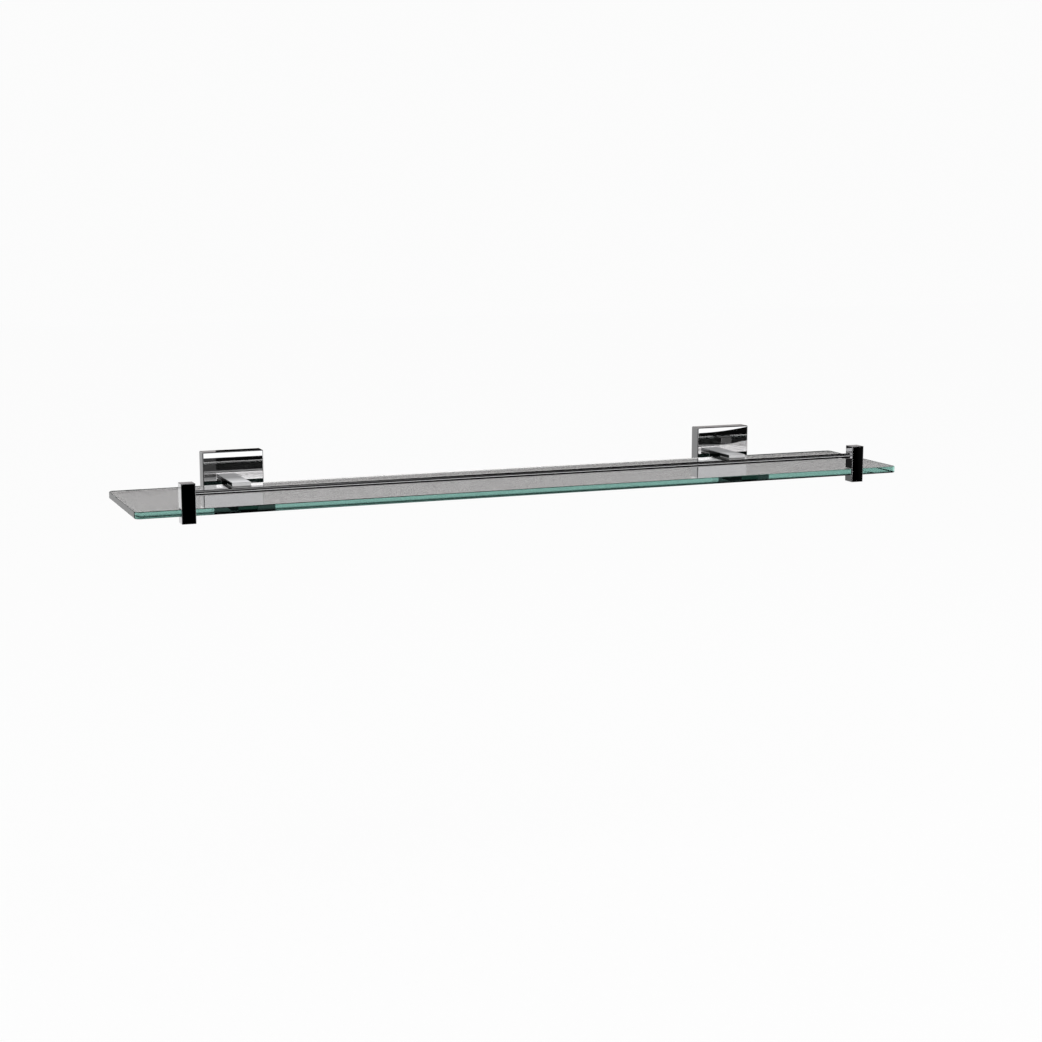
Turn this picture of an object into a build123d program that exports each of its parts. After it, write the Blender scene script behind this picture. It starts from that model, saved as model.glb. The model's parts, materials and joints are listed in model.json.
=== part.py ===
from build123d import *
import os

# Glass wall shelf on two square brackets, with a rail along its front edge.
#
# Millimetres. X runs along the shelf, +Y points into the wall and +Z is up.
# The origin is on the wall plane, at the centre of the four wall screws, and at
# the height of the glass's top face, so the whole shelf lies at negative Y.

# Glass
shelf_length = 600.0
glass_depth = 103.0
glass_thickness = 5.0
glass_corner_radius = 4.0
glass_arris = 0.4

# Square cover plates against the wall
plate_spacing = 410.0
plate_size = 46.0
plate_depth = 11.0
plate_wall = 2.2
plate_floor = 3.0
plate_edge_radius = 0.7

# Slotted arms that grip the glass's rear edge
glass_gap = 10.0
arm_width = 14.5
arm_grip = 15.0
arm_upper_jaw = 2.5
arm_lower_jaw = 3.0
arm_edge_radius = 0.35
arm_liner = 0.5

# Square posts that grip the glass's front edge
post_spacing = 527.0
post_width = 10.0
post_rise = 17.7
post_drop = 10.3
post_skin = 1.0
post_edge_radius = 0.35
post_liner = 0.4

# Round rail between the posts
rail_radius = 2.0
rail_height = 10.0
rail_socket_depth = 6.0
rail_end_gap = 0.2
rail_end_chamfer = 0.3

# Steel bracket that each cover plate hangs on
bracket_thickness = 1.6
bracket_width = 36.0
bracket_flange = 7.6
bracket_top_gap = 0.2
bracket_bottom_gap = 1.2
bracket_bend_radius = 1.0
bracket_corner_radius = 2.0

# Fasteners: radii are those of the screw, and a hole adds its clearance
thread_clearance = 0.05
grub_radius = 2.0
grub_socket = 2.0
grub_socket_depth = 1.6
grub_recess = 0.2
grub_chamfer = 0.3
arm_screw_radius = 1.5
arm_screw_spacing = 7.0
arm_screw_bite = 6.0
arm_screw_head_radius = 2.75
arm_screw_head_height = 2.0
wall_screw_radius = 2.0
wall_screw_neck_radius = 1.7
wall_screw_spacing = 22.0
wall_screw_reach = 25.0
wall_screw_tip = 5.0
wall_screw_head_radius = 4.0
wall_screw_head_height = 2.6
wall_screw_hole_radius = 2.4
wall_screw_slot_length = 8.0
hole_runout = 1.0
cross_width_to_head = 0.28
cross_length_to_head = 1.25
cross_depth_to_head = 0.55
head_round_to_height = 0.45

# Worked out from the above
sides = {"left": -1, "right": 1}
plate_front = -plate_depth
glass_back = plate_front - glass_gap
glass_front = glass_back - glass_depth
glass_underside = -glass_thickness
glass_mid_y = (glass_back + glass_front) / 2

arm_front = glass_back - arm_grip
arm_slot_back = glass_back + arm_liner
arm_slot_top = arm_liner
arm_slot_bottom = glass_underside - arm_liner
arm_top = arm_slot_top + arm_upper_jaw
arm_bottom = arm_slot_bottom - arm_lower_jaw
arm_screw_z = (arm_top + arm_bottom) / 2

post_slot_front = glass_front - post_liner
post_front = post_slot_front - post_skin
post_back = post_front + post_width
post_mid_y = (post_front + post_back) / 2
post_slot_top = post_liner
post_slot_bottom = glass_underside - post_liner
post_centre = post_spacing / 2
rail_length = post_spacing - post_width + 2 * (rail_socket_depth - rail_end_gap)

cavity_top = plate_size / 2 - plate_wall
cavity_bottom = -plate_size / 2 + plate_floor
cavity_width = plate_size - 2 * plate_wall
cavity_front = plate_front + plate_wall
bracket_top = cavity_top - bracket_top_gap
bracket_bottom = cavity_bottom + bracket_bottom_gap
plate_grub_y = -(bracket_thickness + bracket_flange) / 2


def facing_room(x, y, z):
    """Plane whose normal points away from the wall, with its own Y upwards."""
    return Plane(origin=(x, y, z), x_dir=(1, 0, 0), z_dir=(0, -1, 0))


def facing_wall(x, y, z):
    """Plane whose normal points into the wall."""
    return Plane(origin=(x, y, z), x_dir=(-1, 0, 0), z_dir=(0, 1, 0))


def side_profile(x):
    """Plane across the shelf at x: its own X runs to the wall, its own Y upwards."""
    return Plane(origin=(x, 0, 0), x_dir=(0, 1, 0), z_dir=(1, 0, 0))


def level(x, y, z):
    """Level plane with its normal upwards."""
    return Plane(origin=(x, y, z))


def rectangle_between(low, high):
    """Rectangle from its lower left to its upper right corner, inside a sketch."""
    width = high[0] - low[0]
    height = high[1] - low[1]
    with Locations(((low[0] + high[0]) / 2, (low[1] + high[1]) / 2)):
        Rectangle(width, height)


def make_glass_shelf():
    """Toughened glass with rounded corners and ground edges."""
    with BuildPart() as glass_shelf:
        with BuildSketch(level(0, glass_mid_y, glass_underside)):
            RectangleRounded(shelf_length, glass_depth, glass_corner_radius)
        extrude(amount=glass_thickness)
        chamfer(glass_shelf.faces().filter_by(Axis.Z).edges(), glass_arris)
    return glass_shelf.part


def make_front_rail():
    """Round rail whose ends sit in the posts."""
    with BuildPart() as front_rail:
        with BuildSketch(side_profile(-rail_length / 2)):
            with Locations((post_mid_y, rail_height)):
                Circle(rail_radius)
        extrude(amount=rail_length)
        chamfer(front_rail.edges().filter_by(GeomType.CIRCLE), rail_end_chamfer)
    return front_rail.part


def make_post(side):
    """Square post with a slot for the glass, a socket for the rail and a grub screw hole."""
    centre = side * post_centre
    inner_face = centre - side * post_width / 2
    with BuildPart() as post:
        with BuildSketch(level(centre, post_mid_y, -post_drop)):
            Rectangle(post_width, post_width)
        extrude(amount=post_drop + post_rise)
        fillet(post.edges(), post_edge_radius)
        with BuildSketch(side_profile(centre)):
            rectangle_between((post_slot_front, post_slot_bottom), (post_back, post_slot_top))
        extrude(amount=post_width / 2, both=True, mode=Mode.SUBTRACT)
        with BuildSketch(side_profile(inner_face)):
            with Locations((post_mid_y, rail_height)):
                Circle(rail_radius + thread_clearance)
        extrude(amount=side * rail_socket_depth, mode=Mode.SUBTRACT)
        with BuildSketch(level(centre, post_mid_y, -post_drop)):
            Circle(grub_radius + thread_clearance)
        extrude(amount=post_drop + post_slot_bottom, mode=Mode.SUBTRACT)
    return post.part


def make_liner(centre, width, front, back, wall, open_front):
    """Thin plastic U round the edge of the glass, open to the front or to the back."""
    low_z = glass_underside - wall
    with BuildPart() as liner:
        with BuildSketch(side_profile(centre)):
            rectangle_between((front, low_z), (back, wall))
        extrude(amount=width / 2, both=True)
        with BuildSketch(side_profile(centre)):
            if open_front:
                rectangle_between((front, glass_underside), (back - wall, 0))
            else:
                rectangle_between((front + wall, glass_underside), (back, 0))
        extrude(amount=width / 2, both=True, mode=Mode.SUBTRACT)
    return liner.part


def make_grub_screw(x, y, low_z, high_z):
    """Set screw driven from below, with a hexagon socket in its lower end."""
    with BuildPart() as grub_screw:
        with BuildSketch(level(x, y, low_z)):
            Circle(grub_radius)
        extrude(amount=high_z - low_z)
        chamfer(grub_screw.edges().filter_by(GeomType.CIRCLE), grub_chamfer)
        with BuildSketch(level(x, y, low_z)):
            RegularPolygon(grub_socket / 2, 6, major_radius=False)
        extrude(amount=grub_socket_depth, mode=Mode.SUBTRACT)
    return grub_screw.part


def make_cover_plate(centre):
    """Square hollow cover, open at the wall, with holes for the arm and its grub screw."""
    with BuildPart() as cover_plate:
        with BuildSketch(facing_room(centre, 0, 0)):
            Rectangle(plate_size, plate_size)
        extrude(amount=plate_depth)
        wall_face = cover_plate.faces().sort_by(Axis.Y)[-1]
        fillet(cover_plate.edges() - wall_face.edges(), plate_edge_radius)
        half_width = cavity_width / 2
        with BuildSketch(facing_room(centre, 0, 0)):
            rectangle_between((-half_width, cavity_bottom), (half_width, cavity_top))
        extrude(amount=-cavity_front, mode=Mode.SUBTRACT)
        with BuildSketch(facing_room(centre, cavity_front, arm_screw_z)):
            with GridLocations(arm_screw_spacing, 0, 2, 1):
                Circle(arm_screw_radius + thread_clearance)
        extrude(amount=plate_wall, mode=Mode.SUBTRACT)
        with BuildSketch(level(centre, plate_grub_y, -plate_size / 2)):
            Circle(grub_radius + thread_clearance)
        extrude(amount=plate_floor, mode=Mode.SUBTRACT)
    return cover_plate.part


def make_arm(centre):
    """Rectangular arm, slotted from the front, with holes for its screws."""
    with BuildPart() as arm:
        with BuildSketch(side_profile(centre)):
            rectangle_between((arm_front, arm_bottom), (plate_front, arm_top))
        extrude(amount=arm_width / 2, both=True)
        plate_face = arm.faces().sort_by(Axis.Y)[-1]
        fillet(arm.edges() - plate_face.edges(), arm_edge_radius)
        with BuildSketch(side_profile(centre)):
            rectangle_between((arm_front, arm_slot_bottom), (arm_slot_back, arm_slot_top))
        extrude(amount=arm_width / 2, both=True, mode=Mode.SUBTRACT)
        with BuildSketch(facing_room(centre, plate_front, arm_screw_z)):
            with GridLocations(arm_screw_spacing, 0, 2, 1):
                Circle(arm_screw_radius + thread_clearance)
        extrude(amount=arm_screw_bite + hole_runout, mode=Mode.SUBTRACT)
        with BuildSketch(level(centre, glass_back - arm_grip / 2, arm_bottom)):
            Circle(grub_radius + thread_clearance)
        extrude(amount=arm_lower_jaw, mode=Mode.SUBTRACT)
    return arm.part


def cross_outline(plane, head_radius):
    """Outline of the cross recess in a screw's head."""
    with BuildSketch(plane) as cross:
        Rectangle(cross_length_to_head * head_radius, cross_width_to_head * head_radius)
        Rectangle(cross_width_to_head * head_radius, cross_length_to_head * head_radius)
    return cross.sketch


def make_arm_screws(centre):
    """Two machine screws from inside the cover into the arm, heads towards the wall."""
    head_face = cavity_front + arm_screw_head_height
    with BuildPart() as arm_screws:
        for offset in (-arm_screw_spacing / 2, arm_screw_spacing / 2):
            with BuildSketch(facing_wall(centre + offset, cavity_front, arm_screw_z)):
                Circle(arm_screw_head_radius)
            extrude(amount=arm_screw_head_height)
        rims = arm_screws.edges().filter_by(GeomType.CIRCLE).group_by(Axis.Y)[-1]
        fillet(rims, head_round_to_height * arm_screw_head_height)
        for offset in (-arm_screw_spacing / 2, arm_screw_spacing / 2):
            with BuildSketch(facing_room(centre + offset, cavity_front, arm_screw_z)):
                Circle(arm_screw_radius)
            extrude(amount=plate_wall + arm_screw_bite)
            recess_plane = facing_wall(centre + offset, head_face, arm_screw_z)
            recess = cross_outline(recess_plane, arm_screw_head_radius)
            extrude(recess, amount=-cross_depth_to_head * arm_screw_head_height, mode=Mode.SUBTRACT)
    return arm_screws.part


def make_wall_bracket(centre):
    """Steel channel screwed to the wall: its two flanges stand inside the cover plate."""
    with BuildPart() as wall_bracket:
        with BuildSketch(side_profile(centre)):
            rectangle_between((-bracket_flange, bracket_bottom), (0, bracket_top))
        extrude(amount=bracket_width / 2, both=True)
        bends = wall_bracket.edges().filter_by(Axis.X).group_by(Axis.Y)[-1]
        fillet(bends, bracket_bend_radius)
        flange_corners = wall_bracket.edges().filter_by(Axis.Z).group_by(Axis.Y)[0]
        fillet(flange_corners, bracket_corner_radius)
        with BuildSketch(side_profile(centre)):
            low = (-bracket_flange, bracket_bottom + bracket_thickness)
            rectangle_between(low, (-bracket_thickness, bracket_top - bracket_thickness))
        extrude(amount=bracket_width / 2, both=True, mode=Mode.SUBTRACT)
        with BuildSketch(facing_room(centre, 0, 0)):
            with Locations((0, wall_screw_spacing / 2)):
                Circle(wall_screw_hole_radius)
            with Locations((0, -wall_screw_spacing / 2)):
                SlotOverall(wall_screw_slot_length, 2 * wall_screw_hole_radius, rotation=90)
        extrude(amount=bracket_thickness, mode=Mode.SUBTRACT)
    return wall_bracket.part


def make_wall_screws(centre):
    """Two pan head screws through the bracket: the thread stands out of its back into the wall."""
    head_seat = -bracket_thickness
    head_face = head_seat - wall_screw_head_height
    with BuildPart() as wall_screws:
        for height in (-wall_screw_spacing / 2, wall_screw_spacing / 2):
            with BuildSketch(facing_room(centre, head_seat, height)):
                Circle(wall_screw_head_radius)
            extrude(amount=wall_screw_head_height)
        rims = wall_screws.edges().filter_by(GeomType.CIRCLE).group_by(Axis.Y)[0]
        fillet(rims, head_round_to_height * wall_screw_head_height)
        for height in (-wall_screw_spacing / 2, wall_screw_spacing / 2):
            with BuildSketch(facing_wall(centre, head_seat, height)):
                Circle(wall_screw_neck_radius)
            extrude(amount=bracket_thickness)
            with BuildSketch(facing_wall(centre, 0, height)):
                Circle(wall_screw_radius)
            extrude(amount=wall_screw_reach)
            recess = cross_outline(facing_room(centre, head_face, height), wall_screw_head_radius)
            extrude(recess, amount=-cross_depth_to_head * wall_screw_head_height, mode=Mode.SUBTRACT)
        tips = wall_screws.edges().filter_by(GeomType.CIRCLE).group_by(Axis.Y)[-1]
        chamfer(tips, wall_screw_tip, 0.9 * wall_screw_radius)
    return wall_screws.part


def make_side(side_name, side):
    """Every piece of one end of the shelf, by name."""
    post_x = side * post_centre
    plate_x = side * plate_spacing / 2
    arm_grub_y = glass_back - arm_grip / 2
    pieces = {
        "post": make_post(side),
        "post_liner": make_liner(post_x, post_width, post_slot_front, post_back, post_liner, False),
        "post_grub_screw": make_grub_screw(post_x, post_mid_y, grub_recess - post_drop, post_slot_bottom),
        "arm": make_arm(plate_x),
        "arm_liner": make_liner(plate_x, arm_width, arm_front, arm_slot_back, arm_liner, True),
        "arm_grub_screw": make_grub_screw(plate_x, arm_grub_y, grub_recess + arm_bottom, arm_slot_bottom),
        "arm_screws": make_arm_screws(plate_x),
        "cover_plate": make_cover_plate(plate_x),
        "cover_grub_screw": make_grub_screw(plate_x, plate_grub_y, grub_recess - plate_size / 2, bracket_bottom),
        "wall_bracket": make_wall_bracket(plate_x),
        "wall_screws": make_wall_screws(plate_x),
    }
    return {side_name + "_" + name: part for name, part in pieces.items()}


nodes = {"glass_shelf": make_glass_shelf(), "front_rail": make_front_rail()}
for side_name, side in sides.items():
    nodes.update(make_side(side_name, side))

os.makedirs("parts", exist_ok=True)
for name, part in nodes.items():
    part.label = name
    export_step(part, "parts/" + name + ".step")
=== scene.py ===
import json
import math

import bmesh
import bpy
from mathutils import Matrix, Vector


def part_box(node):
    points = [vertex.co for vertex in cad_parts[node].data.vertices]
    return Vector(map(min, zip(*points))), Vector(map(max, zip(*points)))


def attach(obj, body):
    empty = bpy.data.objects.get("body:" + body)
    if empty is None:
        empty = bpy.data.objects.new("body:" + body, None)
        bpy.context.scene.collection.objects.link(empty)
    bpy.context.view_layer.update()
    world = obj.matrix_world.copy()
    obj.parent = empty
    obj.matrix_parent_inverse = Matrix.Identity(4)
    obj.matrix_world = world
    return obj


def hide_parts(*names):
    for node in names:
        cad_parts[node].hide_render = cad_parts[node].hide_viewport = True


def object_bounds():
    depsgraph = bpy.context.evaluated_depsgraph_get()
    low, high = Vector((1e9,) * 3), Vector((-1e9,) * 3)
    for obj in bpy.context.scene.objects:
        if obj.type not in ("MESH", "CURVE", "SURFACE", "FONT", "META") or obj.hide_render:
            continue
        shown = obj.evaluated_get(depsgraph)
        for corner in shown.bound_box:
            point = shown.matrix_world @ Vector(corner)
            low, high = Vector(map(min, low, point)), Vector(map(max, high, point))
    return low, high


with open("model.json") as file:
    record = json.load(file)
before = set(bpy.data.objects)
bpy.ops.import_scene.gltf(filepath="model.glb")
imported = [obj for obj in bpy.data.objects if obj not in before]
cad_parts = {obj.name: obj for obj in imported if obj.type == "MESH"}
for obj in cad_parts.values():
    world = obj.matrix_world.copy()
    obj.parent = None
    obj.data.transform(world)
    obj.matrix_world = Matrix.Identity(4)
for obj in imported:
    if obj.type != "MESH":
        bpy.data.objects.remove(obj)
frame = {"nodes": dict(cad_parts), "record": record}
cad_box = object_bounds()
nodes = frame["nodes"]
underside = Vector(cad_box[0]).z

# Camera: turned to the right of square-on and looking slightly down
camera_azimuth = math.radians(21.854)
camera_elevation = math.radians(9.745)
camera_distance = 1.480
camera_target = Vector((0.0049, -0.0700, -0.0360))
sensor_width = 0.036
focal_length = 0.06711
image_size = 1042
axis_offset = 3

# Room
floor_drop = 0.33
floor_size = 14.0
room_white = 0.97

# Wall screws, in metres: their places and outer sizes come from the frame
screw_pitch = 0.0018
screw_thread_depth = 0.00055
screw_tip = 0.005
screw_neck = 0.0017
screw_head_height = 0.0026
screw_head_round = 0.0012
screw_head_crown = 0.0002
screw_sides = 40
rows_per_turn = 10
recess_depth = 0.0017
recess_span = 0.0050
recess_width = 0.0010
recess_taper = 0.7


# Studio that the metal mirrors. Slope is height over distance, and bearing is how far
# to the right over distance. The aisle is the part that the flat faces in front mirror.
dark = 0.003
room_bands = [
    (-0.1545, 2.0),
    (-0.1467, dark),
    (-0.1386, 1.25),
    (0.0200, dark),
    (0.1455, 0.95),
    (0.1900, 0.04),
]
table_edge = -0.1467
screen_edge = 0.1455
table_left = 0.2265
table_right = 0.60
table_bend_start = 0.51
table_bend = 2.4
table_shade = 0.045
shade_middle = 0.1427
shade_half = 0.0041
room_in_glass = 0.15
eye_level = 0.1
screen_fade = 0.1507
screen_fade_half = 0.0012
screen_fade_depth = 0.6
wall_grey = 0.36
wall_top = 0.1265
wall_top_left = 0.147
wall_top_right = 0.130
wall_right = 0.57
floor_greys = [(0.17, 0.75), (0.212, 0.75), (0.218, 0.36), (0.50, 0.29), (0.60, 0.14)]
aisle_left = 0.06
aisle_right = 0.62
aisle_fade = 0.10
overhead_edge = 0.955
overhead_fade = 0.02
overhead_grey = 0.40
low_height = -0.2
low_grey = 0.35
front_left_grey = 0.02
studio_greys = [
    (0.0, 0.45),
    (0.40, 0.55),
    (0.45, 0.25),
    (0.52, 0.12),
    (0.60, 0.35),
    (0.75, 0.42),
    (1.0, 0.42),
]

# Plating
arm_end_roughness = 0.22
arm_end_matt = 0.6
# grey of the painted shade on the posts' rear faces where they are mirrored
rear_painted_shade_grey = 0.20
face_tolerance = 0.0001

# Glass. A face counts as square to an axis where its normal is this close to it.
square_on = 0.9
edge_on = 0.5
# height and fade of the painted dark reflection along the glass's lower arris
painted_arris_dark_height = 0.0008
painted_arris_dark_fade = 0.0004
# strength of the painted glow on the glass edges
painted_edge_glow = 0.5
front_glow_start = 0.30
front_glow_fade = 0.07


def link(tree, start, end):
    tree.links.new(start, end)


def math_node(tree, operation, first, second=None, clamp=False):
    """Math node fed by sockets or plain numbers."""
    node = tree.nodes.new("ShaderNodeMath")
    node.operation = operation
    node.use_clamp = clamp
    for socket, value in zip(node.inputs, (first, second)):
        if value is None:
            continue
        if isinstance(value, (int, float)):
            socket.default_value = value
        else:
            link(tree, value, socket)
    return node.outputs[0]


def product(tree, *factors):
    result = factors[0]
    for factor in factors[1:]:
        result = math_node(tree, "MULTIPLY", result, factor)
    return result


def above(tree, value, limit):
    """1 where the value is over the limit, 0 elsewhere."""
    return math_node(tree, "GREATER_THAN", value, limit)


def below(tree, value, limit):
    """1 where the value is under the limit, 0 elsewhere."""
    return math_node(tree, "LESS_THAN", value, limit)


def inverse(tree, value):
    return math_node(tree, "SUBTRACT", 1.0, value)


def larger(tree, first, second):
    return math_node(tree, "MAXIMUM", first, second)


def absolute(tree, value):
    return math_node(tree, "ABSOLUTE", value)


def spread(tree, value, middle, half_width):
    """Number that goes from 0 to 1 over a band round the middle value."""
    shifted = math_node(tree, "SUBTRACT", value, middle - half_width)
    return math_node(tree, "DIVIDE", shifted, 2 * half_width, clamp=True)


def split_xyz(tree, vector):
    node = tree.nodes.new("ShaderNodeSeparateXYZ")
    link(tree, vector, node.inputs[0])
    return node.outputs


def object_place(tree):
    return split_xyz(tree, tree.nodes.new("ShaderNodeTexCoord").outputs["Object"])


def colour_mix(tree, factor, first, second):
    """Colour that goes from first to second as the factor goes from 0 to 1."""
    node = tree.nodes.new("ShaderNodeMix")
    node.data_type = "RGBA"
    sockets = (node.inputs["Factor"], node.inputs[6], node.inputs[7])
    for socket, value in zip(sockets, (factor, first, second)):
        if isinstance(value, tuple):
            socket.default_value = value
        else:
            link(tree, value, socket)
    return node.outputs[2]


def ramp_node(tree, value, stops):
    """Colour ramp from (position, grey) or (position, (r, g, b)) stops."""
    node = tree.nodes.new("ShaderNodeValToRGB")
    elements = node.color_ramp.elements
    while len(elements) < len(stops):
        elements.new(0.5)
    for element, (position, colour) in zip(elements, stops):
        element.position = position
        rgb = colour if isinstance(colour, tuple) else (colour,) * 3
        element.color = (*rgb, 1.0)
    link(tree, value, node.inputs["Fac"])
    return node.outputs["Color"]


def grey(value):
    return (value, value, value, 1.0)


def warm_grey(value):
    return (value, 0.95 * value, 0.95 * value, 1.0)


def met_metal(tree):
    """1 where a ray has been mirrored, and 0 where it comes straight or from a matt surface."""
    path = tree.nodes.new("ShaderNodeLightPath")
    glossy = above(tree, path.outputs["Glossy Depth"], 0.5)
    matt = below(tree, path.outputs["Diffuse Depth"], 0.5)
    return product(tree, glossy, matt), path


def make_camera():
    level = math.cos(camera_elevation)
    view = Vector((
        math.sin(camera_azimuth) * level,
        math.cos(camera_azimuth) * level,
        -math.sin(camera_elevation),
    ))
    data = bpy.data.cameras.new("camera")
    data.sensor_width = sensor_width * 1000
    data.lens = focal_length * 1000
    data.shift_x = -axis_offset / image_size
    data.shift_y = axis_offset / image_size
    data.clip_end = 50.0
    camera = bpy.data.objects.new("camera", data)
    camera.location = camera_target - camera_distance * view
    camera.rotation_euler = (math.pi / 2 - camera_elevation, 0.0, -camera_azimuth)
    bpy.context.scene.collection.objects.link(camera)
    bpy.context.scene.camera = camera


def room_side(tree, bearing, height, deep_in_glass):
    """Room side of the aisle: level bands, with a table's edge below and a screen above."""
    past_bend = larger(tree, math_node(tree, "SUBTRACT", bearing, table_bend_start), 0.0)
    slope = math_node(tree, "SUBTRACT", height, product(tree, past_bend, past_bend, table_bend))
    bands = dark
    previous = dark
    for start, brightness in room_bands:
        step = product(tree, above(tree, slope, start), brightness - previous)
        bands = math_node(tree, "ADD", step, bands)
        previous = brightness
    # The screen fades towards its lower edge.
    faded = inverse(tree, spread(tree, slope, screen_fade, screen_fade_half))
    fade = product(tree, faded, above(tree, slope, eye_level), screen_fade_depth)
    bands = product(tree, bands, inverse(tree, fade))
    # The strip below the table's edge and the screen are of limited width.
    right_of_edge = above(tree, bearing, table_left)
    ahead = above(tree, bearing, 0.0)
    on_strip = product(tree, right_of_edge, below(tree, bearing, table_right))
    beside_screen = larger(tree, below(tree, slope, screen_edge), ahead)
    between = product(tree, above(tree, slope, table_edge), beside_screen)
    lit = larger(tree, on_strip, between)
    # To their left is a dim strip.
    off_middle = absolute(tree, math_node(tree, "SUBTRACT", absolute(tree, slope), shade_middle))
    on_shade = inverse(tree, above(tree, off_middle, shade_half))
    shade = product(tree, inverse(tree, right_of_edge), ahead, on_shade, table_shade)
    brightness = larger(tree, product(tree, lit, bands), shade)
    return colour_mix(tree, deep_in_glass, brightness, grey(room_in_glass))


def far_side(tree, bearing, z):
    """Far side of the aisle: a grey wall with a dark opening above it and a dark floor below."""
    left_top = product(tree, inverse(tree, above(tree, bearing, table_left)), wall_top_left)
    right_top = product(tree, above(tree, bearing, wall_right), wall_top_right)
    top = larger(tree, larger(tree, left_top, right_top), wall_top)
    on_wall = product(tree, below(tree, z, top), above(tree, z, 0.0))
    side = colour_mix(tree, on_wall, grey(dark), warm_grey(wall_grey))
    return colour_mix(tree, below(tree, z, low_height), side, grey(low_grey))


def studio_beside(tree, x, z, bearing, is_far):
    """Beside the aisle: a soft studio with a dark horizon, a grey floor at the far left and
    shade at the near left."""
    around = ramp_node(tree, spread(tree, z, 0.0, 1.0), studio_greys)
    floor_side = ramp_node(tree, absolute(tree, bearing), floor_greys)
    near_level = below(tree, absolute(tree, z), -low_height)
    on_left = product(tree, near_level, below(tree, x, 0.0))
    left_side = colour_mix(tree, is_far, grey(front_left_grey), floor_side)
    return colour_mix(tree, on_left, around, left_side)


def make_world():
    """White room for what is seen directly, and a white and dark studio for reflections."""
    world = bpy.data.worlds.new("studio")
    bpy.context.scene.world = world
    world.use_nodes = True
    tree = world.node_tree
    tree.nodes.clear()
    x, y, z = split_xyz(tree, tree.nodes.new("ShaderNodeTexCoord").outputs["Generated"])
    distance = larger(tree, absolute(tree, y), 0.01)
    bearing = math_node(tree, "DIVIDE", x, distance)
    height = math_node(tree, "DIVIDE", z, distance)
    is_far = spread(tree, y, 0.0, 0.02)

    mirrored, path = met_metal(tree)
    refracted = above(tree, path.outputs["Transmission Depth"], 1.5)
    in_glass = product(tree, above(tree, path.outputs["Glossy Depth"], 1.5), refracted)
    deep_in_glass = product(tree, above(tree, path.outputs["Glossy Depth"], 2.5), refracted)

    near = room_side(tree, bearing, height, deep_in_glass)
    aisle = colour_mix(tree, is_far, near, far_side(tree, bearing, z))
    studio = studio_beside(tree, x, z, bearing, is_far)
    past_left = spread(tree, x, aisle_left, aisle_fade)
    past_right = spread(tree, x, aisle_right, aisle_fade)
    in_aisle = math_node(tree, "SUBTRACT", past_left, past_right)
    reflected = colour_mix(tree, in_aisle, studio, aisle)
    overhead = spread(tree, absolute(tree, z), overhead_edge, overhead_fade)
    reflected = colour_mix(tree, overhead, reflected, grey(overhead_grey))
    # Light that has run along inside the glass meets the white room at the far side.
    white = grey(room_white)
    reflected = colour_mix(tree, product(tree, in_glass, is_far), reflected, white)
    seen = colour_mix(tree, mirrored, white, reflected)

    background = tree.nodes.new("ShaderNodeBackground")
    link(tree, seen, background.inputs["Color"])
    output = tree.nodes.new("ShaderNodeOutputWorld")
    link(tree, background.outputs[0], output.inputs["Surface"])


def new_material(name):
    material = bpy.data.materials.new(name)
    material.use_nodes = True
    tree = material.node_tree
    return material, tree, tree.nodes["Principled BSDF"]


def noise_node(tree, scale, detail=3.0, stretch=(1.0, 1.0, 1.0)):
    """Noise in object space, scale in features per metre."""
    coordinates = tree.nodes.new("ShaderNodeTexCoord").outputs["Object"]
    mapping = tree.nodes.new("ShaderNodeMapping")
    mapping.inputs["Scale"].default_value = stretch
    link(tree, coordinates, mapping.inputs["Vector"])
    noise = tree.nodes.new("ShaderNodeTexNoise")
    noise.inputs["Scale"].default_value = scale
    noise.inputs["Detail"].default_value = detail
    link(tree, mapping.outputs["Vector"], noise.inputs["Vector"])
    return noise.outputs["Fac"]


def bump(tree, shader, height, distance, strength=1.0):
    node = tree.nodes.new("ShaderNodeBump")
    node.inputs["Strength"].default_value = strength
    node.inputs["Distance"].default_value = distance
    link(tree, height, node.inputs["Height"])
    link(tree, node.outputs["Normal"], shader.inputs["Normal"])


def make_chrome():
    """Mirror plating with faint buffing haze."""
    material, tree, shader = new_material("chrome")
    haze = noise_node(tree, 90.0, 4.0)
    colour = ramp_node(tree, haze, [(0.3, (0.80, 0.80, 0.815)), (0.7, (0.84, 0.84, 0.85))])
    place = object_place(tree)
    normal = split_xyz(tree, tree.nodes.new("ShaderNodeNewGeometry").outputs["True Normal"])
    mirrored, path = met_metal(tree)

    # The posts are clear where the cover plates mirror them. In reflections their rear faces get painted
    # shade, a darker grey, where the glass comes between.
    rear_painted_shade = product(tree, mirrored, above(tree, normal["Y"], square_on))
    colour = colour_mix(tree, rear_painted_shade, colour, grey(rear_painted_shade_grey))
    link(tree, colour, shader.inputs["Base Color"])
    inner_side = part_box("right_post")[0].x - face_tolerance
    on_post = above(tree, absolute(tree, place["X"]), inner_side)
    through_glass = above(tree, path.outputs["Transmission Depth"], 0.5)
    clear = math_node(tree, "SUBTRACT", product(tree, mirrored, on_post), through_glass, clamp=True)
    choice = tree.nodes.new("ShaderNodeMixShader")
    link(tree, clear, choice.inputs[0])
    link(tree, shader.outputs[0], choice.inputs[1])
    link(tree, tree.nodes.new("ShaderNodeBsdfTransparent").outputs[0], choice.inputs[2])
    link(tree, choice.outputs[0], tree.nodes["Material Output"].inputs["Surface"])

    # The arms' cut front ends are only brushed.
    off_end = absolute(tree, math_node(tree, "SUBTRACT", place["Y"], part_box("left_arm")[0].y))
    on_end = below(tree, off_end, face_tolerance)
    link(tree, inverse(tree, product(tree, on_end, arm_end_matt)), shader.inputs["Metallic"])
    roughness = ramp_node(tree, haze, [(0.3, 0.0), (0.7, 0.008)])
    brushed = product(tree, on_end, arm_end_roughness)
    link(tree, math_node(tree, "ADD", roughness, brushed), shader.inputs["Roughness"])
    return material


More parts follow.
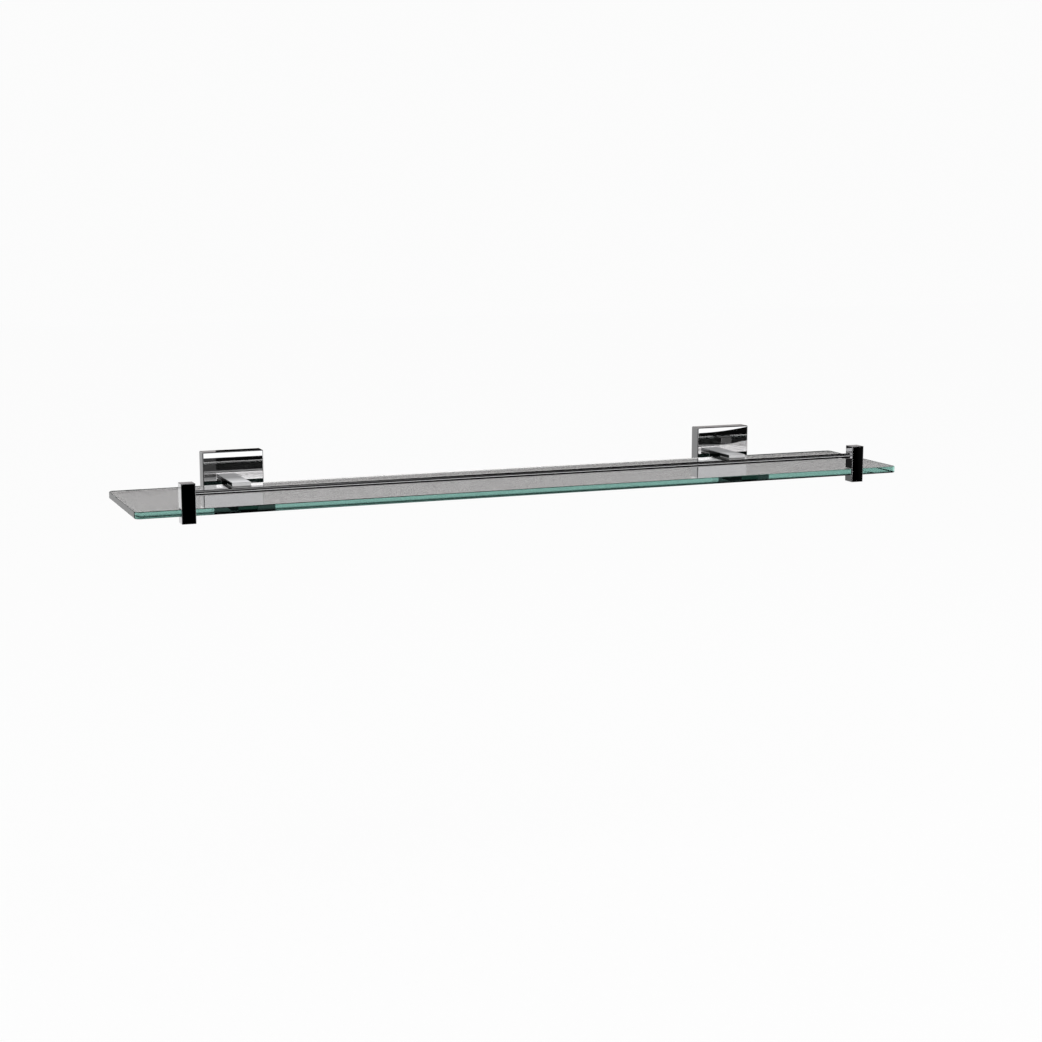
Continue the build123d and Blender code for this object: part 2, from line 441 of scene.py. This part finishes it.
def make_glass():
    """Clear float glass: its green shows along the edges, with a painted glow on them."""
    material, tree, shader = new_material("shelf_glass")
    shader.inputs["Transmission Weight"].default_value = 1.0
    shader.inputs["IOR"].default_value = 1.46
    shader.inputs["Roughness"].default_value = 0.0
    surface = tree.nodes.new("ShaderNodeNewGeometry")
    normal = split_xyz(tree, surface.outputs["True Normal"])
    outer = inverse(tree, surface.outputs["Backfacing"])
    mirrored, _ = met_metal(tree)
    rear = above(tree, normal["Y"], edge_on)

    # Ground edges: green, with a painted dark reflection along the lower arris, and painted dark at the
    # rear in reflections
    face_tints = [(0.3, (1.0, 0.95, 0.95)), (0.7, (1.0, 0.96, 0.96))]
    edge_tints = [(0.3, (0.40, 0.55, 0.51)), (0.7, (0.44, 0.59, 0.55))]
    face = ramp_node(tree, noise_node(tree, 25.0, 1.0), face_tints)
    ground = ramp_node(tree, noise_node(tree, 900.0, 2.0), edge_tints)
    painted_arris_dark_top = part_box("glass_shelf")[0].z + painted_arris_dark_height
    clear_of_painted_arris_dark = spread(tree, object_place(tree)["Z"], painted_arris_dark_top, painted_arris_dark_fade)
    # Painted dark reflection: the edge turns near black along the lower arris
    edge = colour_mix(tree, clear_of_painted_arris_dark, (0.02, 0.04, 0.035, 1.0), ground)
    # Painted shade: the rear edge is near black where it is mirrored
    rear_painted_dark = product(tree, rear, outer, mirrored)
    edge = colour_mix(tree, rear_painted_dark, edge, (0.02, 0.025, 0.024, 1.0))
    on_edge = below(tree, absolute(tree, normal["Z"]), square_on)
    link(tree, colour_mix(tree, on_edge, face, edge), shader.inputs["Base Color"])

    # Painted glow: light emitted from the edges where they are seen from behind, from the right or
    # at a slant
    slant = tree.nodes.new("ShaderNodeLayerWeight").outputs["Facing"]
    slanted = spread(tree, slant, front_glow_start, front_glow_fade)
    front = product(tree, below(tree, normal["Y"], -edge_on), slanted)
    glowing = larger(tree, larger(tree, rear, above(tree, normal["X"], edge_on)), front)
    seen_directly = math_node(tree, "SUBTRACT", outer, mirrored, clamp=True)
    glow = product(tree, glowing, seen_directly, clear_of_painted_arris_dark, painted_edge_glow)
    link(tree, glow, shader.inputs["Emission Strength"])
    shader.inputs["Emission Color"].default_value = (0.40, 0.66, 0.58, 1.0)

    absorption = tree.nodes.new("ShaderNodeVolumeAbsorption")
    absorption.inputs["Color"].default_value = (0.30, 0.66, 0.60, 1.0)
    absorption.inputs["Density"].default_value = 9.0
    link(tree, absorption.outputs[0], tree.nodes["Material Output"].inputs["Volume"])
    return material


def make_liner():
    """Soft dark moulding with a fine grain."""
    material, tree, shader = new_material("liner")
    grain = noise_node(tree, 2500.0, 3.0)
    colour = ramp_node(tree, grain, [(0.3, 0.20), (0.7, 0.25)])
    link(tree, colour, shader.inputs["Base Color"])
    roughness = ramp_node(tree, grain, [(0.3, 0.55), (0.7, 0.7)])
    link(tree, roughness, shader.inputs["Roughness"])
    bump(tree, shader, grain, 0.00005)
    return material


def make_zinc(name, deep, pale, rough_low, rough_high, scale):
    """Plated steel: soft mottling and a light metal grain."""
    material, tree, shader = new_material(name)
    shader.inputs["Metallic"].default_value = 1.0
    mottle = noise_node(tree, scale, 5.0)
    link(tree, ramp_node(tree, mottle, [(0.3, deep), (0.7, pale)]), shader.inputs["Base Color"])
    link(tree, ramp_node(tree, mottle, [(0.3, rough_low), (0.7, rough_high)]), shader.inputs["Roughness"])
    bump(tree, shader, noise_node(tree, 6000.0, 2.0), 0.00002)
    return material


def dress_nodes():
    """Give every node its finish, and return the finishes by slot."""
    bracket_tints = (0.50, 0.51, 0.53), (0.66, 0.67, 0.68)
    screw_tints = (0.56, 0.56, 0.55), (0.72, 0.71, 0.69)
    dark_tints = (0.20, 0.20, 0.21), (0.34, 0.34, 0.35)
    finishes = {
        "chrome": make_chrome(),
        "shelf_glass": make_glass(),
        "liner": make_liner(),
        "bracket_steel": make_zinc("bracket_steel", *bracket_tints, 0.25, 0.42, 180.0),
        "screw_steel": make_zinc("screw_steel", *screw_tints, 0.18, 0.35, 700.0),
        "dark_steel": make_zinc("dark_steel", *dark_tints, 0.2, 0.4, 900.0),
    }
    slot_of = {part["node"]: part["material_slot"] for part in frame["record"]["subparts"]}
    for name, node in nodes.items():
        material = finishes[slot_of[name]]
        if not node.data.materials:
            node.data.materials.append(material)
        for index in range(len(node.material_slots)):
            node.material_slots[index].material = material
    return finishes


def screw_profile(seat, head_radius):
    """Outline of a pan head and neck, from the crown to the wall plane, as (y, radius)."""
    crown = seat - screw_head_height
    rounding = 6
    profile = [(crown, 0.0), (crown + screw_head_crown / 4, head_radius / 3)]
    for step in range(rounding + 1):
        turn = math.pi / 2 * step / rounding
        y = crown + screw_head_crown + screw_head_round * (1 - math.cos(turn))
        profile.append((y, head_radius - screw_head_round * (1 - math.sin(turn))))
    profile += [(seat, head_radius), (seat, screw_neck), (0.0, screw_neck)]
    return profile


def screw_mesh(name, reach, seat, thread_radius, head_radius):
    """Pan head screw along +Y: a revolved head and neck, and a helical thread to the tip."""
    shape = bmesh.new()
    rings = []
    for y, radius in screw_profile(seat, head_radius):
        rings.append([(radius, y)] * screw_sides)
    rows = int(reach / screw_pitch * rows_per_turn)
    core = thread_radius - screw_thread_depth
    for row in range(1, rows + 1):
        y = reach * row / rows
        taper = min(1.0, (reach - y) / screw_tip)
        ring = []
        for side in range(screw_sides):
            phase = (y / screw_pitch - side / screw_sides) % 1.0
            ridge = max(0.0, 1.0 - abs(phase - 0.5) * 4.0)
            runout = min(1.0, y / screw_pitch)
            ring.append(((core + screw_thread_depth * ridge * runout) * taper ** 0.8, y))
        rings.append(ring)
    loops = []
    for ring in rings:
        loop = []
        for side, (radius, y) in enumerate(ring):
            angle = 2 * math.pi * side / screw_sides
            loop.append(shape.verts.new((radius * math.cos(angle), y, radius * math.sin(angle))))
        loops.append(loop)
    for first, second in zip(loops, loops[1:]):
        for side in range(screw_sides):
            after = (side + 1) % screw_sides
            shape.faces.new((first[side], first[after], second[after], second[side]))
    bmesh.ops.remove_doubles(shape, verts=shape.verts, dist=1e-7)
    bmesh.ops.recalc_face_normals(shape, faces=shape.faces)
    mesh = bpy.data.meshes.new(name)
    shape.to_mesh(mesh)
    shape.free()
    return mesh


def recess_mesh(crown):
    """Tapered cross that cuts the recess in a screw's head."""
    shape = bmesh.new()
    for span_x, span_z in ((recess_span, recess_width), (recess_width, recess_span)):
        block = bmesh.ops.create_cube(shape, size=1.0)["verts"]
        for vertex in block:
            deep = vertex.co.y > 0
            scale = recess_taper if deep else 1.0
            y = crown + recess_depth if deep else crown - recess_depth
            vertex.co = (vertex.co.x * span_x * scale, y, vertex.co.z * span_z * scale)
    mesh = bpy.data.meshes.new("recess")
    shape.to_mesh(mesh)
    shape.free()
    return mesh


def make_wall_screws(material):
    """Threaded screws with cross recesses, in place of the plain ones at both brackets."""
    pattern = next(m for m in frame["record"]["mounts"] if m["kind"] == "bolt_pattern")
    spacing = pattern["dims"]["spacing_y_mm"] / 1000
    thread_radius = pattern["dims"]["stud_r_mm"] / 1000
    for side in ("left", "right"):
        node = side + "_wall_screws"
        box_low, box_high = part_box(node)
        head_radius = (box_high.x - box_low.x) / 2
        seat = box_low.y + screw_head_height
        mesh = screw_mesh(node + "_thread", box_high.y, seat, thread_radius, head_radius)
        blank = bpy.data.objects.new(node + "_blank", mesh)
        cutter = bpy.data.objects.new(node + "_recess", recess_mesh(box_low.y))
        for helper in (blank, cutter):
            bpy.context.scene.collection.objects.link(helper)
        cut = blank.modifiers.new("recess", "BOOLEAN")
        cut.operation = "DIFFERENCE"
        cut.solver = "EXACT"
        cut.use_self = True
        cut.object = cutter
        evaluated = blank.evaluated_get(bpy.context.evaluated_depsgraph_get())
        finished = bpy.data.meshes.new_from_object(evaluated)
        for helper in (blank, cutter):
            bpy.data.objects.remove(helper)
        pair = bmesh.new()
        for height in (-spacing / 2, spacing / 2):
            start = len(pair.verts)
            pair.from_mesh(finished)
            pair.verts.ensure_lookup_table()
            moved = pair.verts[start:]
            bmesh.ops.translate(pair, verts=moved, vec=((box_low.x + box_high.x) / 2, 0.0, height))
        joined = bpy.data.meshes.new(node + "_pair")
        pair.to_mesh(joined)
        pair.free()
        joined.materials.clear()
        joined.materials.append(material)
        for polygon in joined.polygons:
            polygon.use_smooth = True
            polygon.material_index = 0
        joined.set_sharp_from_angle(angle=math.radians(35))
        screws = bpy.data.objects.new(side + "_threaded_wall_screws", joined)
        bpy.context.scene.collection.objects.link(screws)
        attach(screws, "root")
        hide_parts(node)


def make_floor():
    """Plain pale floor, far enough below the shelf to take no sharp shadow."""
    height = underside - floor_drop
    half = floor_size / 2
    corners = [(x, y, height) for x, y in ((-half, -half), (half, -half), (half, half), (-half, half))]
    mesh = bpy.data.meshes.new("floor")
    mesh.from_pydata(corners, [], [(0, 1, 2, 3)])
    floor = bpy.data.objects.new("floor", mesh)
    bpy.context.scene.collection.objects.link(floor)
    material, tree, shader = new_material("floor")
    shader.inputs["Base Color"].default_value = (0.1, 0.1, 0.1, 1.0)
    shader.inputs["Roughness"].default_value = 1.0
    shader.inputs["Specular IOR Level"].default_value = 0.0
    shader.inputs["Emission Color"].default_value = (1.0, 1.0, 1.0, 1.0)
    shader.inputs["Emission Strength"].default_value = 0.87
    mirrored, _ = met_metal(tree)
    clear = tree.nodes.new("ShaderNodeBsdfTransparent")
    choice = tree.nodes.new("ShaderNodeMixShader")
    link(tree, mirrored, choice.inputs[0])
    link(tree, shader.outputs[0], choice.inputs[1])
    link(tree, clear.outputs[0], choice.inputs[2])
    link(tree, choice.outputs[0], tree.nodes["Material Output"].inputs["Surface"])
    mesh.materials.append(material)
    floor.visible_glossy = False


def make_light(name, location, aim, size, power):
    data = bpy.data.lights.new(name, "AREA")
    data.shape = "RECTANGLE"
    data.size, data.size_y = size
    data.energy = power
    light = bpy.data.objects.new(name, data)
    light.location = location
    light.rotation_euler = (Vector(aim) - Vector(location)).to_track_quat("-Z", "Y").to_euler()
    light.visible_glossy = False
    bpy.context.scene.collection.objects.link(light)


make_camera()
make_world()
make_floor()
finishes = dress_nodes()
make_wall_screws(finishes["screw_steel"])
make_light("key", (-1.2, -1.6, 1.8), (0, -0.06, 0), (1.2, 1.2), 12)
make_light("fill", (1.6, -1.0, 1.4), (0, -0.06, 0), (1.2, 1.2), 8)
bpy.context.scene.view_settings.view_transform = "Standard"
